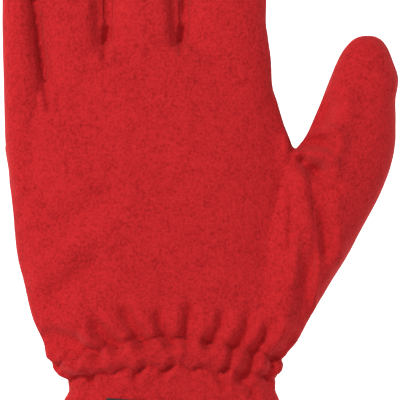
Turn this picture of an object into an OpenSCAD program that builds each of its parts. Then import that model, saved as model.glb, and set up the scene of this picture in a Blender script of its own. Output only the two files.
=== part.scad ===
// Right-hand fleece glove with half-finger stalls and a mitten hood that flips over the fingertips.
// It stands on its cuff, fingers up (+Z), palm forward (-Y), thumb to the right (+X).
// The hood rests folded down on the back of the hand and is drawn first where it covers the fingers.

/* [Fabric] */
// Thickness of the glove's fleece
fleece = 1.8; // [1.5:0.1:2]
// Thickness of the hood's fleece
hood_fleece = 2.3; // [2:0.1:2.4]
// Thickness of the stretch binding tape
tape = 0.7; // [0.5:0.1:0.7]
// Height of the binding tape on an edge
tape_height = 7; // [5:0.5:8]

/* [Cuff] */
// Width of the wrist elastic
elastic_width = 13; // [10:0.5:14]
// Thickness of the wrist elastic
elastic_thickness = 1.2; // [0.8:0.1:1.4]
// Width and height of the blank woven label
label_width = 30; // [20:1:34]
label_height = 15; // [10:1:16]

/* [Hood] */
// Slant of the knuckle seam, rising towards the first finger
hinge_slant = 4; // [3:0.5:5]
// Length of the hood from the knuckle seam to its tip
hood_length = 104; // [102:1:108]
// How far the palm layer swings out when the hood is on the fingers
pocket_swing = 12.3; // [11.5:0.1:13]
// Width and height of the hook patch that parks the hood
patch_width = 24; // [16:1:28]
patch_height = 13; // [10:1:16]

/* [Hidden] */

sides = 28;            // corners of a cross-section
roundness = 2.4;       // exponent of the cross-section, 2 is an ellipse
reach = 300;           // longer than the whole mitten
fine = 0.02;           // gap that keeps laid-on pieces from sharing a curved face

red = [0.75, 0.15, 0.17];
dark_red = [0.62, 0.11, 0.13];
black = [0.08, 0.08, 0.09];

// Cross-sections from the bottom up: height, left edge, right edge, half depth.
palm_sections = [
    [0, -57, 35, 18], [12, -56, 34, 17], [26, -53, 31, 15], [38, -49.5, 28, 13], [45, -53.5, 29.5, 13],
    [50, -57, 31, 13], [57, -60, 36, 13.2], [66, -63.5, 38, 13.6], [76, -65.7, 38, 14], [91, -69.5, 37.5, 14.3],
    [106, -70.7, 37, 14.3], [129, -73.3, 35.7, 13.6], [140, -73.8, 31, 12.6], [148, -73.5, 28.9, 11.4],
    [152, -64, 28, 11], [163, -62, 26.6, 10.2], [169.5, -61.5, 25.5, 8.5], [172.2, -60, 24.5, 5]];
little_sections = [
    [112, -71, -58, 9], [130, -73.3, -57.6, 9.5], [148, -74.1, -58.4, 9.5], [167, -74.7, -60.8, 9.2],
    [186, -74.9, -63.2, 8.8], [194.6, -75.1, -63.9, 8.6]];
ring_sections = [
    [140, -57, -35.4, 9.6], [148, -57.2, -35.4, 9.8], [167, -59.6, -35.4, 9.6], [186, -62, -35.4, 9.2],
    [203, -61.6, -36, 8.8], [211.3, -61, -36.8, 8.4]];
middle_sections = [
    [140, -34.1, -7.3, 9.8], [172, -34.1, -7.3, 9.8], [186, -34, -6.8, 9.5], [203, -33.4, -7.4, 9],
    [216.6, -32.8, -8.2, 8.6]];
index_sections = [
    [140, -6.1, 27, 9.8], [160, -6.1, 26.6, 9.8], [171, -6.1, 25.4, 9.6], [179, -5.8, 24.4, 9.4],
    [186, -5.5, 24.7, 9.2], [203, -4.6, 24.6, 8.8], [211.3, -4, 24, 8.4]];
thumb_sections = [
    [50, 20, 30, 6], [57, 18, 36.5, 10], [68, 18, 42.5, 12.5], [80, 20, 50, 13.5], [95, 22, 58.5, 14],
    [110, 26, 66.5, 14], [122, 31, 71.5, 13.5], [129, 35, 73.3, 13], [134, 39.5, 73.7, 12.5],
    [141, 43.3, 73.7, 12], [148, 46.4, 73.4, 11.5], [156, 49.5, 74.6, 11], [163, 52.4, 72.6, 10],
    [168, 55.2, 70.8, 8], [171, 58.5, 68, 5], [172.2, 61, 65.5, 2.5]];
stalls = [little_sections, ring_sections, middle_sections, index_sections];

thumb_seam_x = 35;     // the thumb pieces start here
thumb_seam_z = 58;
fourchette_half = 4.2; // half the width of the strips between the fingers
fleece_hem_z = 1;      // the fleece ends here inside the hem's tape
elastic_z = 51.6;      // middle of the wrist elastic
label_left = -35.3;
label_top = 35;
label_thickness = 0.7;
thread = 0.4;

// The knuckle seam is the hood's hinge.
hinge = [-24.7, 15.5, 150];
hinge_axis = [cos(hinge_slant), 0, sin(hinge_slant)];
seam_roll_r = 1;
seam_length = 96;
seam_clearance = 0.5;
// The hood, as it lies over the fingers.
hood_x = -24.7;
hood_half_width = 54.4;
hood_shoulder_z = 186; // straight sides below this, a rounded tip above it
hood_tip_z = hinge[2] + hood_length;
hood_roundness = 2.5;
hood_out_y = 14.2;     // outer face of the back layer
hood_rim_y = 8.4;      // the rim of the back layer ends here
hood_split = 0.3;      // gap between the two layers' rims
hood_mouth_z = 162;
hood_waist = 3.5;      // the hood is this much narrower at the seam
pocket_pivot = [hood_x, hood_rim_y, hood_tip_z - 1.5];
pocket_profile = [[150, 8.4], [162, 6.9], [180, 4.3], [200, 0.4], [216, -2.2], [228, -2.7], [238, -1.5],
                  [246, 1.8], [251.7, 8.2]];
patch_thickness = 0.8;
loop_thickness = 0.9;
loop_margin = 2;       // the loop patch is this much larger all round
patch_x = -22;         // middle of the hook patch on the hood
patch_z = 231;

function signed_power(v) = sign(v) * pow(abs(v), 2 / roundness);
function mix(a, b, t) = a + (b - a) * t;
function section_ring(s) = [for (i = [0 : sides - 1]) let (a = 360 * i / sides)
    [(s[1] + s[2]) / 2 + (s[2] - s[1]) / 2 * signed_power(cos(a)), s[3] * signed_power(sin(a)), s[0]]];
function grown(list, by) = [for (s = list) [s[0], s[1] - by, s[2] + by, s[3] + by]];
function step_below(list, z) = max([0, for (i = [0 : len(list) - 2]) if (list[i][0] <= z) i]);
function section_at(list, z) = let (i = step_below(list, z), a = list[i], b = list[i + 1],
    t = min(1, max(0, (z - a[0]) / (b[0] - a[0])))) [z, mix(a[1], b[1], t), mix(a[2], b[2], t), mix(a[3], b[3], t)];
function between(list, z0, z1) = concat([section_at(list, z0)],
    [for (s = list) if (s[0] > z0 && s[0] < z1) s], [section_at(list, z1)]);
function end_z(list) = list[len(list) - 1][0];
function open_above(list) = concat(list, [section_at(list, end_z(list) + 2)]);
function open_below(list) = concat([section_at(list, list[0][0] - 2)], list);
function without_last(list) = [for (i = [0 : len(list) - 2]) list[i]];

// One stretch between two cross-sections, and a whole tube of them.
module stretch(a, b) {
    bottom = section_ring(a);
    top = section_ring(b);
    walls = [for (i = [0 : sides - 1]) let (j = (i + 1) % sides)
        each [[i, i + sides, j], [j, i + sides, j + sides]]];
    hull() polyhedron(concat(bottom, top), concat(walls,
        [[for (i = [0 : sides - 1]) i], [for (i = [sides - 1 : -1 : 0]) i + sides]]));
}

module tube(list) {
    for (i = [0 : len(list) - 2]) stretch(list[i], list[i + 1]);
}

// Sets a piece where the origin is under the middle of the whole mitten.
left_edge = little_sections[len(little_sections) - 1][1] - tape;
right_edge = max([for (s = thumb_sections) s[2]]);
front_edge = -palm_sections[0][3] - tape;
back_edge = 2 * hinge[1] - min([for (p = pocket_profile) p[1]]) + hood_fleece;
module placed() translate([-(left_edge + right_edge) / 2, -(front_edge + back_edge) / 2, 0]) children();

module glove_outside(by = 0) {
    tube(grown(palm_sections, by));
    for (s = stalls) tube(grown(s, by));
    tube(grown(thumb_sections, by));
}

module hand_space() {
    tube(open_below(grown(without_last(palm_sections), -fleece)));
    for (s = stalls) tube(open_above(grown(s, -fleece)));
    tube(grown(without_last(thumb_sections), -fleece));
}

module fleece_shell() {
    difference() {
        glove_outside();
        hand_space();
    }
}

// Regions that cut the fleece shell into its sewn pieces.
module front_half() translate([-reach, -reach, fleece_hem_z]) cube([2 * reach, reach, reach]);
module back_half() translate([-reach, 0, fleece_hem_z]) cube([2 * reach, reach, reach]);
module thumb_block() translate([thumb_seam_x, -reach, thumb_seam_z]) cube([reach, 2 * reach, reach]);

// A strip around the gap between two fingers, from the web at z0 up; it leans from x0 to x1.
module gap_block(x0, x1, z0) {
    half = 5.2;
    top = 220;
    translate([0, fourchette_half, 0]) rotate([90, 0, 0]) linear_extrude(2 * fourchette_half)
        polygon([[x0 - half, z0], [x0 + half, z0], [x1 + half, top], [x1 - half, top]]);
}

module little_ring_gap() gap_block(-57.2, -66.3, 143);
module ring_middle_gap() gap_block(-34.7, -34.7, 168);
module middle_index_gap() gap_block(-6.5, -6.5, 168);

module all_gaps() {
    little_ring_gap();
    ring_middle_gap();
    middle_index_gap();
}

module fourchette() color(red) placed() intersection() {
    fleece_shell();
    children();
}

module palm_panel() color(red) placed() difference() {
    intersection() {
        fleece_shell();
        front_half();
    }
    thumb_block();
    all_gaps();
}

module back_panel() color(red) placed() difference() {
    intersection() {
        fleece_shell();
        back_half();
    }
    thumb_block();
    all_gaps();
}

module thumb_front_panel() color(red) placed() intersection() {
    fleece_shell();
    front_half();
    thumb_block();
}

module thumb_back_panel() color(red) placed() intersection() {
    fleece_shell();
    back_half();
    thumb_block();
}

// Tape folded over an edge: tape_z and fleece_z are the heights that each of them covers.
module binding(list, tape_z, fleece_z) color(dark_red) placed() difference() {
    tube(between(grown(list, tape), tape_z[0], tape_z[1]));
    tube(between(grown(list, -fleece - tape), tape_z[0] - 1, tape_z[1] + 1));
    difference() {
        tube(between(list, fleece_z[0], fleece_z[1]));
        tube(between(grown(list, -fleece), fleece_z[0] - 1, fleece_z[1] + 1));
    }
}

module stall_binding(list) binding(list, [end_z(list) - tape_height, end_z(list) + tape],
    [end_z(list) - tape_height - 1, end_z(list)]);

module cuff_hem_binding() binding(palm_sections, [0, tape_height + 2], [fleece_hem_z, tape_height + 3]);

module ring_band(list, z0, z1, inner, outer) difference() {
    tube(between(grown(list, outer), z0, z1));
    tube(between(grown(list, inner), z0 - 1, z1 + 1));
}

module wrist_elastic() color("white") placed() ring_band(palm_sections, elastic_z - elastic_width / 2,
    elastic_z + elastic_width / 2, -fleece - elastic_thickness, -fleece - fine);

// A row of stitching round the wrist at each edge of the elastic.
module elastic_stitching() color(dark_red) placed() for (side = [-1, 1]) {
    z = elastic_z + side * (elastic_width / 2 - 1.5);
    difference() {
        tube(between(grown(palm_sections, thread), z - thread, z + thread));
        glove_outside(fine);
    }
}

// A piece of sheet lying on the front or the back of the glove, under the outline that children draw in x and z.
module laid_on(z0, z1, inner, outer) intersection() {
    ring_band(palm_sections, z0, z1, inner, outer);
    children();
}

module upright(y0, y1) translate([0, y1, 0]) rotate([90, 0, 0]) linear_extrude(y1 - y0) children();

module frame_outline(width, height, inset) difference() {
    translate([inset, inset]) square([width - 2 * inset, height - 2 * inset]);
    translate([inset + thread, inset + thread])
        square([width - 2 * (inset + thread), height - 2 * (inset + thread)]);
}

module cuff_label() color(black) placed()
    laid_on(label_top - label_height, label_top, fine, label_thickness) upright(-reach, 0)
        translate([label_left, label_top - label_height]) square([label_width, label_height]);

module cuff_label_stitching() color(black) placed()
    laid_on(label_top - label_height, label_top, label_thickness, label_thickness + thread)
        upright(-reach, 0) translate([label_left, label_top - label_height])
            frame_outline(label_width, label_height, 1);

// Folds what lies over the fingers back onto the hand, a half turn about the knuckle seam.
module stowed() translate(hinge) rotate(a = 180, v = hinge_axis) translate(-hinge) children();

module patch_place() translate([patch_x - patch_width / 2, patch_z - patch_height / 2]) children();

// A loop-patch layer on the back of the hand, under the stowed hook patch.
module on_back(inner, outer) color(dark_red) placed() intersection() {
    laid_on(50, 95, inner, outer) stowed() upright(-reach, reach)
        patch_place() translate([-loop_margin, -loop_margin]) children();
    back_half();
}

module loop_patch() on_back(fine, loop_thickness)
    square([patch_width + 2 * loop_margin, patch_height + 2 * loop_margin]);

module loop_patch_stitching() on_back(loop_thickness, loop_thickness + thread)
    frame_outline(patch_width + 2 * loop_margin, patch_height + 2 * loop_margin, 0.5);

// The seam that joins the hood to the back of the hand, with its rolled edge on the hinge line.
module knuckle_seam_strip() color(red) placed() difference() {
    translate(hinge) rotate([0, -hinge_slant, 0]) {
        rotate([0, 90, 0]) cylinder(r = seam_roll_r, h = seam_length, center = true, $fn = 32);
        translate([-seam_length / 2, -hinge[1], -seam_roll_r])
            cube([seam_length, hinge[1], 2 * seam_roll_r]);
    }
    glove_outside(fine);
}

// Outline of the hood in x and z, inset all round, open at the knuckle seam.
module hood_outline(inset = 0) {
    w = hood_half_width - inset;
    h = hood_tip_z - hood_shoulder_z - inset;
    steps = 32;
    dome = [for (i = [0 : steps]) let (a = 180 * i / steps)
        [hood_x + w * sign(cos(a)) * pow(abs(cos(a)), 2 / hood_roundness),
         hood_shoulder_z + h * pow(sin(a), 2 / hood_roundness)]];
    function seam_z(x) = hinge[2] + seam_roll_r + seam_clearance + tan(hinge_slant) * (x - hinge[0]);
    left = hood_x - w + hood_waist;
    right = hood_x + w - hood_waist;
    polygon(concat(dome, [[hood_x - w, 162], [left, seam_z(left)], [right, seam_z(right)], [hood_x + w, 162]]));
}

module above(z) intersection() {
    children();
    translate([-reach, z]) square([2 * reach, reach]);
}

module hood_back_fleece() difference() {
    upright(hood_rim_y, hood_out_y) hood_outline();
    upright(hood_rim_y - 1, hood_out_y - hood_fleece) hood_outline(hood_fleece);
    upright(hood_rim_y - 1, hood_out_y - hood_fleece)
        translate([-reach, 0]) square([2 * reach, hood_mouth_z]);
}

module hood_back_panel() color(red) placed() stowed() hood_back_fleece();

module hook_patch() color(black) placed() stowed() upright(hood_out_y, hood_out_y + patch_thickness)
    patch_place() square([patch_width, patch_height]);

module hook_patch_stitching() color(black) placed() stowed()
    upright(hood_out_y + patch_thickness, hood_out_y + patch_thickness + 0.2)
        patch_place() frame_outline(patch_width, patch_height, 1);

// The palm layer's long section, moved by some depth, as a block right across the hood.
module pocket_block(depth, z0) {
    points = [for (p = pocket_profile) [p[1] + depth, p[0]]];
    translate([-reach, 0, 0]) rotate([90, 0, 90]) linear_extrude(2 * reach) intersection() {
        polygon(concat(points, [[20, hood_tip_z + 5 - depth], [20, 150]]));
        translate([-reach, z0]) square([2 * reach, reach]);
    }
}

module hood_palm_fleece() difference() {
    intersection() {
        upright(-20, hood_rim_y - hood_split) hood_outline();
        pocket_block(-hood_fleece, hood_mouth_z);
    }
    intersection() {
        upright(-20, hood_rim_y) hood_outline(hood_fleece);
        pocket_block(0, 0);
    }
}

module hood_palm_panel() color(red) placed() stowed() hood_palm_fleece();

module hood_hem_binding() color(dark_red) placed() stowed() difference() {
    intersection() {
        upright(-20, hood_rim_y - hood_split - fine) hood_outline();
        pocket_block(-hood_fleece - tape, hood_mouth_z - tape);
        translate([-reach, -reach, 0]) cube([2 * reach, 2 * reach, hood_mouth_z + tape_height]);
    }
    intersection() {
        upright(-20, hood_rim_y) hood_outline(hood_fleece);
        pocket_block(tape, 0);
    }
    intersection() {
        upright(-20, reach) hood_outline(-1);
        pocket_block(-hood_fleece, hood_mouth_z);
        upright(-20, reach) hood_outline();
    }
}

palm_panel();
back_panel();
fourchette() little_ring_gap();  // fourchette_little_ring
fourchette() ring_middle_gap();  // fourchette_ring_middle
fourchette() middle_index_gap();  // fourchette_middle_index
thumb_front_panel();
thumb_back_panel();
stall_binding(little_sections);  // little_stall_binding
stall_binding(ring_sections);  // ring_stall_binding
stall_binding(middle_sections);  // middle_stall_binding
stall_binding(index_sections);  // index_stall_binding
cuff_hem_binding();
wrist_elastic();
elastic_stitching();
cuff_label();
cuff_label_stitching();
knuckle_seam_strip();
loop_patch();
loop_patch_stitching();
hood_back_panel();
hook_patch();
hook_patch_stitching();
hood_palm_panel();
hood_hem_binding();
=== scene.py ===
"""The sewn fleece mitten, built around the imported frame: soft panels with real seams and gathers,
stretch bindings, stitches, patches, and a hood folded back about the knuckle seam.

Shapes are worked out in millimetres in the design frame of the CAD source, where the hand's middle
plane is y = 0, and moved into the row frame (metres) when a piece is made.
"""

import math

import bmesh
import bpy
import numpy as np
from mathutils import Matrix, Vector, noise
from mathutils.bvhtree import BVHTree


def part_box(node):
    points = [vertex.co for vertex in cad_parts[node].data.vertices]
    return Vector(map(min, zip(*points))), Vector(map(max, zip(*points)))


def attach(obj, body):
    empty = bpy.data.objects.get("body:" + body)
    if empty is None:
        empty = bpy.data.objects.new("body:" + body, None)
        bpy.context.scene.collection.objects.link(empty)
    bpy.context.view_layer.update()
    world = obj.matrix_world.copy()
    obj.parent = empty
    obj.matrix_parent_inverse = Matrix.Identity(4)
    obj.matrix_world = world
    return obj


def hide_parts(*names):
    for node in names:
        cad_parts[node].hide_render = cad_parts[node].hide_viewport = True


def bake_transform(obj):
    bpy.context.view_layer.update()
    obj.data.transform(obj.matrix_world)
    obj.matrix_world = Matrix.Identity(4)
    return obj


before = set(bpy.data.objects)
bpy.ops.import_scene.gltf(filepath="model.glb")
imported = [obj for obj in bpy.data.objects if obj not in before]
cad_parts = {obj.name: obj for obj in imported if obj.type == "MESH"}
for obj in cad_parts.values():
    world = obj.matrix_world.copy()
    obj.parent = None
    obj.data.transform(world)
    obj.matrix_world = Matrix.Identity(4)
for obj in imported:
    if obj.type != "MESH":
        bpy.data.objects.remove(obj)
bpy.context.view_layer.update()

# ---------------------------------------------------------------- dimensions, as in the CAD source
FLEECE = 1.8
HOOD_FLEECE = 2.3
TAPE, TAPE_HEIGHT, TAPE_FOLD = 0.7, 7.0, 0.7
SEAM_SINK, HOOD_SEAM_SINK = 0.35, 0.3
GLOVE_VOXEL, HOOD_VOXEL = 0.95, 1.25
THUMB_FOOT = 58      # below this the thumb's cloth is part of the palm and the back
STALL_MARGIN = 3     # how far past its sides a finger tube is looked for
HEM_Z = 1.0
ROUNDNESS = 2.4
WRIST_MIDDLE, WRIST_CENTRE = -10.5, (-12, 0)
HINGE = np.array([-24.7, 15.5, 150.0])
HINGE_SLANT = math.radians(4)
HINGE_AXIS = np.array([math.cos(HINGE_SLANT), 0, math.sin(HINGE_SLANT)])
HINGE_UP = np.array([-math.sin(HINGE_SLANT), 0, math.cos(HINGE_SLANT)])
HOOD_X, HOOD_HALF, HOOD_WAIST = -24.7, 54.4, 3.5
HOOD_SHOULDER, HOOD_TIP, HOOD_MOUTH = 186.0, 254.0, 162.0
HOOD_OUT, HOOD_SPLIT = 14.2, 8.25
LABEL_LEFT, LABEL_TOP, LABEL_SIZE = -35.3, 35.0, (30.0, 15.0)
LABEL_RISE, LABEL_TILT = 0.8, math.radians(-2.5)
PATCH_AT, PATCH_SIZE, LOOP_MARGIN = (-22.0, 231.0), (24.0, 13.0), 2.0

# Cross-sections from the bottom up: height, left edge, right edge, half depth.
PALM = [
    (-6, -57.5, 35.5, 18.5), (12, -56.2, 34.3, 17), (26, -54.6, 32.6, 15), (31, -53.2, 31.4, 14),
    (35, -51.4, 30.0, 13.2), (38.5, -49.5, 28.5, 12.8), (42, -50.2, 28.7, 12.8),
    (46, -54.3, 30, 13), (50, -57.4, 31.5, 13.6), (56, -59.1, 34.8, 13), (61, -61.3, 37, 13.4),
    (66, -63.5, 38, 13.8), (76, -66.0, 38, 14),
    (91, -69.5, 37.5, 14.3), (106, -71.2, 37, 14.3), (118, -72.7, 36.6, 14),
    (129, -73.5, 35.7, 13.6), (140, -73.9, 31.8, 12.6), (148, -73.4, 29.4, 11.4), (152, -64, 28, 11),
    (163, -62, 26.6, 10.2), (167.5, -61.5, 25.5, 8.5), (170.2, -60, 24.5, 5)]
LITTLE = [
    (112, -71, -58.4, 9), (130, -73.5, -57.9, 9.5), (148, -74.2, -58.5, 9.6), (167, -74.8, -60.7, 9.3),
    (186, -75, -63.0, 8.8), (192, -75.1, -64.9, 8.7), (201, -75.2, -65.8, 8.5)]
RING = [
    (140, -57.0, -35.5, 9.6), (148, -57.2, -35.2, 9.8), (167, -59.8, -34.6, 9.7), (176, -61.0, -34.9, 9.5),
    (186, -62.3, -35.1, 9.3), (194, -61.6, -36.3, 9.1), (203, -61.2, -36.6, 8.8), (218, -60.6, -37.2, 8.3)]
MIDDLE = [
    (140, -34.3, -7.0, 9.8), (168, -34.5, -6.3, 9.9), (177, -34.3, -6.3, 9.7), (186, -34.2, -6.4, 9.6),
    (194, -33.0, -7.6, 9.3), (203, -32.9, -8.0, 9), (223, -32.6, -8.6, 8.5)]
INDEX = [
    (140, -6, 27.8, 9.8), (160, -6.2, 27.4, 9.8), (171, -5.9, 26.2, 9.6), (179, -5.6, 25.3, 9.4),
    (186, -5.5, 25.4, 9.2), (194, -4.5, 25.3, 9.0), (203, -4.3, 25.1, 8.8), (218, -3.5, 24.3, 8.3)]
THUMB = [
    (50, 20, 30, 6), (57, 18, 36.8, 10), (68, 18, 43, 12.5), (80, 20, 50.4, 13.5), (95, 22, 59.3, 14),
    (110, 26, 67.2, 14), (122, 31, 72.2, 13.5), (129, 35.6, 73.9, 13), (134, 39.6, 74.3, 12.5),
    (141, 43.1, 74.3, 12), (148, 46.0, 74, 11.6), (156, 49.1, 75, 11), (163, 52.1, 73, 10),
    (168, 55, 71, 8), (171, 57.8, 68.7, 5.4), (172.4, 60.3, 66.6, 2.6)]
STALL_ENDS = {"little": (LITTLE, 194.6), "ring": (RING, 211.3),
              "middle": (MIDDLE, 216.6), "index": (INDEX, 211.3)}

hem_low, hem_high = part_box("cuff_hem_binding")
SHIFT = np.array([500 * (hem_low.x + hem_high.x) + 11, 500 * (hem_low.y + hem_high.y), 0.0])


def to_row(points):
    """Design millimetres to row metres."""
    return (np.asarray(points, float) + SHIFT) * 0.001


def stowed(points):
    """What lies over the fingers, folded back a half turn about the knuckle seam."""
    d = np.asarray(points, float) - HINGE
    return HINGE + 2 * (d @ HINGE_AXIS)[..., None] * HINGE_AXIS - d


# ---------------------------------------------------------------- surfaces as numpy arrays
def turns(count):
    """Equal angles round a full turn."""
    return np.linspace(0, 2 * math.pi, count, endpoint=False)


def run_of(points):
    """Distance along a line of points, from its start."""
    return np.append(0, np.cumsum(np.linalg.norm(np.diff(points, axis=0), axis=1)))


def at_run(at, run, values):
    """Points or normals along a line, read at some distances from its start."""
    return np.column_stack([np.interp(at, run, values[:, k]) for k in range(3)])


def open_edges(faces):
    """The edges that only one face has, each in that face's direction."""
    directed = {(f[i], f[(i + 1) % len(f)]) for f in faces for i in range(len(f))}
    return sorted((a, b) for a, b in directed if (b, a) not in directed)


def merged(*meshes):
    verts, faces, count = [], [], 0
    for v, f in meshes:
        verts.append(np.asarray(v))
        faces += [tuple(i + count for i in face) for face in f]
        count += len(v)
    return np.vstack(verts), faces


def curve_through(x, y, at):
    """A smooth curve through the points that never overshoots them."""
    h = np.diff(x)
    slope = np.diff(y) / h
    m = np.zeros(len(x))
    m[0], m[-1] = slope[0], slope[-1]
    for i in range(1, len(x) - 1):
        if slope[i - 1] * slope[i] > 0:
            w0, w1 = 2 * h[i] + h[i - 1], h[i] + 2 * h[i - 1]
            m[i] = (w0 + w1) / (w0 / slope[i - 1] + w1 / slope[i])
    i = np.clip(np.searchsorted(x, at, side="right") - 1, 0, len(x) - 2)
    t = (at - x[i]) / h[i]
    return ((1 + 2 * t) * (1 - t) ** 2 * y[i] + t * (1 - t) ** 2 * h[i] * m[i]
            + t * t * (3 - 2 * t) * y[i + 1] + t * t * (t - 1) * h[i] * m[i + 1])


def section_at(sections, z):
    s = np.array(sections, float)
    z = np.atleast_1d(np.asarray(z, float))
    return np.column_stack([curve_through(s[:, 0], s[:, k], z) for k in (1, 2, 3)])


def tube(sections, step=1.3, sides=80):
    """A closed solid through the cross-sections."""
    z = np.linspace(sections[0][0], sections[-1][0], int((sections[-1][0] - sections[0][0]) / step) + 2)
    a = turns(sides)
    power = 2 / ROUNDNESS
    cx, cy = np.sign(np.cos(a)) * abs(np.cos(a)) ** power, np.sign(np.sin(a)) * abs(np.sin(a)) ** power
    rings = []
    for height, (left, right, depth) in zip(z, section_at(sections, z)):
        across = (left + right) / 2 + (right - left) / 2 * cx
        rings.append(np.column_stack([across, depth * cy, np.full(sides, height)]))
    return stacked(rings)


def stacked(rings):
    """Verts and faces of a closed skin over equal rings of points."""
    n = len(rings[0])
    verts = np.vstack(rings + [rings[0].mean(0), rings[-1].mean(0)])
    faces, low, high = [], n * len(rings), n * len(rings) + 1
    for k in range(len(rings) - 1):
        for i in range(n):
            j = (i + 1) % n
            faces.append((k * n + i, k * n + j, (k + 1) * n + j, (k + 1) * n + i))
    top = n * (len(rings) - 1)
    faces += [((i + 1) % n, i, low) for i in range(n)]
    faces += [(top + i, top + (i + 1) % n, high) for i in range(n)]
    return verts, faces


def remeshed(solids, voxel):
    """One even skin around overlapping solids."""
    mesh = bpy.data.meshes.new("solids")
    verts, faces = merged(*solids)
    mesh.from_pydata(verts.tolist(), [], faces)
    obj = bpy.data.objects.new("solids", mesh)
    bpy.context.scene.collection.objects.link(obj)
    modifier = obj.modifiers.new("voxels", "REMESH")
    modifier.mode, modifier.voxel_size, modifier.adaptivity = "VOXEL", voxel, 0
    made = obj.evaluated_get(bpy.context.evaluated_depsgraph_get()).to_mesh()
    co = np.zeros(len(made.vertices) * 3, np.float32)
    made.vertices.foreach_get("co", co)
    quads = np.array([list(p.vertices) for p in made.polygons if len(p.vertices) == 4])
    bpy.data.objects.remove(obj)
    return co.reshape(-1, 3).astype(float), quads


def edges_of(quads):
    pairs = np.vstack([quads[:, [i, (i + 1) % 4]] for i in range(4)])
    return np.unique(np.sort(pairs, axis=1), axis=0)


def summed(index, values, size):
    return np.column_stack([np.bincount(index, values[:, k], size) for k in range(3)])


def relaxed(co, quads, rounds, strength=0.5):
    """Evens the surface out; every second, stronger round pushes back so that it doesn't shrink."""
    a, b = edges_of(quads).T
    links = np.bincount(np.append(a, b), minlength=len(co))[:, None]
    for step in range(2 * rounds):
        mean = (summed(a, co[b], len(co)) + summed(b, co[a], len(co))) / links
        co = co + (mean - co) * (strength if step % 2 == 0 else -strength * 1.04)
    return co


def normals_of(co, quads):
    face = np.cross(co[quads[:, 2]] - co[quads[:, 0]], co[quads[:, 3]] - co[quads[:, 1]])
    total = sum(summed(quads[:, k], face, len(co)) for k in range(4))
    return total / np.maximum(np.linalg.norm(total, axis=1), 1e-9)[:, None]


def cloud(co, scale, seed=0):
    """Smooth noise from -1 to 1 at each point, with features about scale millimetres wide."""
    at = co / scale + seed * 17.3
    return np.array([noise.noise(p) for p in at])


def smoothstep(low, high, value):
    """0 up to low, 1 from high on; low may be the larger one."""
    t = np.clip((value - low) / (high - low), 0, 1)
    return t * t * (3 - 2 * t)


def near_line(points, x, z):
    """Distance from a line through points in the x-z plane, and where along it, 0 to 1."""
    best, where, run = np.full(len(x), 1e9), np.zeros(len(x)), 0.0
    points = [np.array(p, float) for p in points]
    lengths = [np.linalg.norm(b - a) for a, b in zip(points, points[1:])]
    for a, b, length in zip(points, points[1:], lengths):
        d = (b - a) / length
        t = np.clip((x - a[0]) * d[0] + (z - a[1]) * d[1], 0, length)
        gap = np.hypot(x - a[0] - t * d[0], z - a[1] - t * d[1])
        closer = gap < best
        best, where = np.where(closer, gap, best), np.where(closer, (run + t) / sum(lengths), where)
        run += length
    return best, where


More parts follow.
